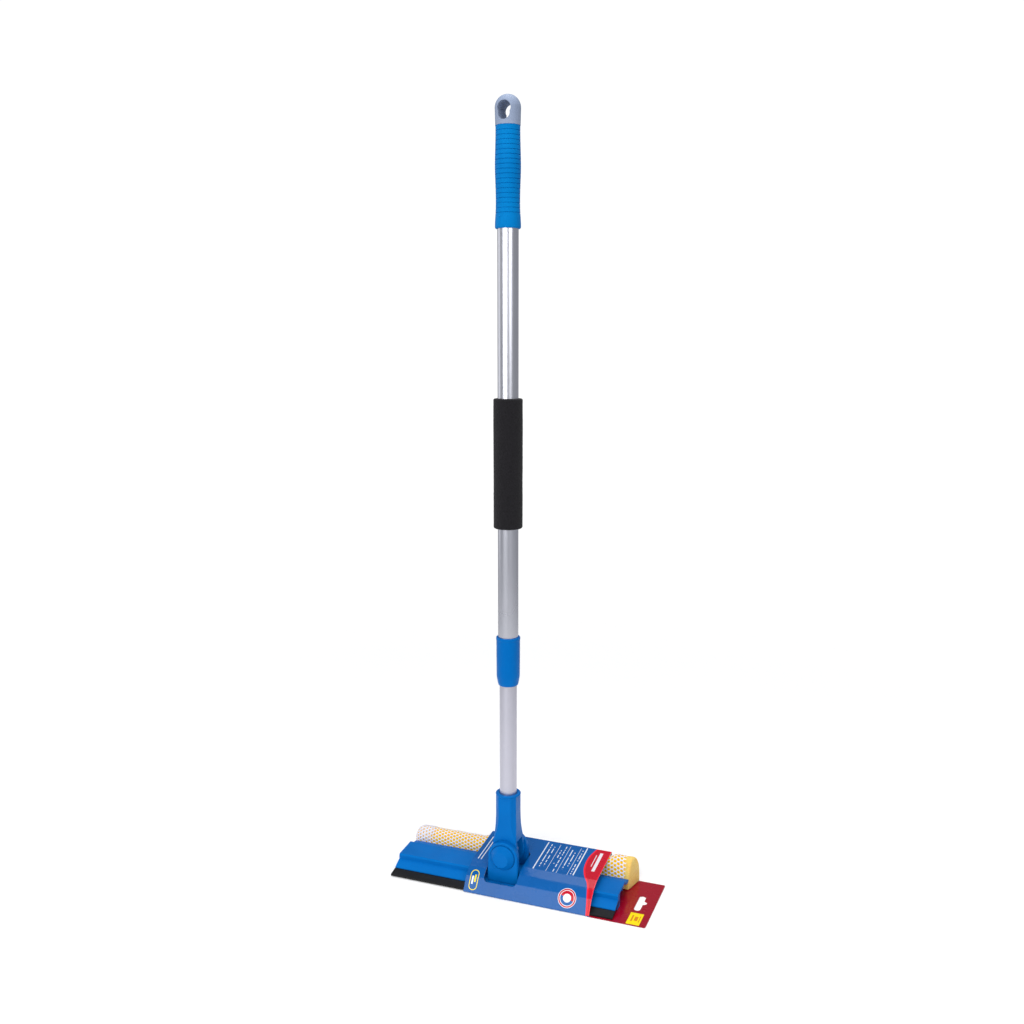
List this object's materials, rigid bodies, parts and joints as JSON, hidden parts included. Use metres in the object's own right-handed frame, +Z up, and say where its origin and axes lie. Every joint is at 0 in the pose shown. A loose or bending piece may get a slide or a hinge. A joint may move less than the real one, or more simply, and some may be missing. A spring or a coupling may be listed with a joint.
{
  "type": "telescopic window washer",
  "caption": "Window washer: rubber squeegee blade and net-covered sponge on a push-button swivel head, with a twist-lock telescopic aluminium pole and a printed card sleeve.",
  "frame": {"origin": "on the pole axis, in the plane of the card sleeve's underside, which the head rests on", "axes": "+X along the head towards the card's hanging tab, +Y from the blade towards the sponge, +Z up the pole"},
  "size_m": [0.2871, 0.089, 0.81],
  "materials": {
    "blue_plastic": "satin moulded polypropylene, mid blue",
    "grip_blue": "soft-touch moulded plastic, mid blue",
    "grey_plastic": "satin moulded plastic, blue-grey",
    "natural_plastic": "natural white acetal",
    "black_rubber": "smooth black rubber",
    "black_foam": "closed-cell foam, black, fine-grained",
    "yellow_foam": "open-cell sponge foam, yellow",
    "white_net": "knitted polyester net, white",
    "printed_card": "glossy printed card, blue with a red band and tab",
    "bright_aluminium": "drawn tube, bright polished",
    "satin_aluminium": "drawn tube, satin anodised",
    "zinc_steel": "zinc-plated steel"
  },
  "bodies": {
    "head": {"squeegee_body": "blue_plastic", "blade_rubber": "black_rubber", "blade_wedge_strip": "natural_plastic", "sponge_rail": "blue_plastic", "sponge_net": "white_net", "sponge_core": "yellow_foam", "card_sleeve": "printed_card"},
    "swivel_button": {"lock_button": "blue_plastic", "stem_washer": "zinc_steel", "stem_screw": "zinc_steel"},
    "swivel_arm": {"swivel_socket": "blue_plastic", "ratchet_ring": "natural_plastic", "pivot_bush": "natural_plastic", "tube_screw": "zinc_steel", "lower_tube": "satin_aluminium", "lock_core": "grey_plastic", "core_pin": "zinc_steel", "core_washer": "zinc_steel", "core_screw": "zinc_steel", "button_spring": "zinc_steel"},
    "twist_collet": {"lock_collet": "natural_plastic"},
    "upper_pole": {"upper_tube": "bright_aluminium", "lock_collar": "blue_plastic", "collar_bush": "natural_plastic", "foam_grip": "black_foam", "handle_grip": "grip_blue", "hanging_cap": "grey_plastic"}
  },
  "joints": [
    {"name": "head_swivel", "type": "hinge", "parent": "head", "child": "swivel_arm", "pos_m": [0, 0, 0.037], "axis": [0, 1, 0], "range_deg": [-75, 75]},
    {"name": "button_press", "type": "slide", "parent": "head", "child": "swivel_button", "axis": [0, 1, 0], "range_m": [0, 0.003], "stiffness_N_per_m": 900, "springref_m": -0.0035, "deforming": ["button_spring"]},
    {"name": "pole_twist", "type": "hinge", "parent": "swivel_arm", "child": "twist_collet", "pos_m": [0, 0, 0.6], "axis": [0, 0, 1], "range_deg": [0, 120]},
    {"name": "telescope", "type": "slide", "parent": "twist_collet", "child": "upper_pole", "axis": [0, 0, 1], "range_m": [-0.118, 0.25]}
  ]
}
